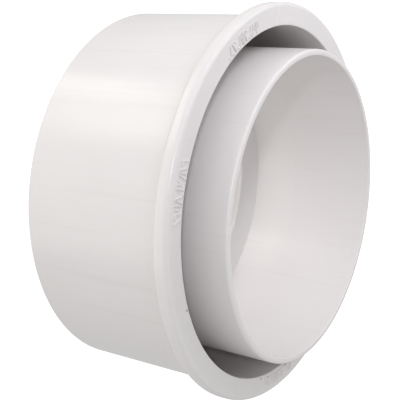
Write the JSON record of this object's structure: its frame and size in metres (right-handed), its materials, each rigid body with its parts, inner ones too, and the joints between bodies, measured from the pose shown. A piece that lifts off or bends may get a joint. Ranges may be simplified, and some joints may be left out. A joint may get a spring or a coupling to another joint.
{
  "type": "reducing bush",
  "caption": "Reducing bush for drain pipe: a flared spigot for the larger pipe round a raised solvent-weld socket for the smaller one, open right through.",
  "frame": {"origin": "centre of the spigot's end face, on the fitting's axis", "axes": "+Z along the axis, out of the socket's mouth; the fitting is round, so +X and +Y are any two radii"},
  "size_m": [0.1706, 0.1706, 0.0862],
  "materials": {
    "moulding": "injection-moulded white PVC-U, soft gloss"
  },
  "bodies": {
    "root": {"spigot_wall": "moulding", "collar_lip": "moulding", "socket_tube": "moulding", "stop_web": "moulding"}
  },
  "joints": []
}
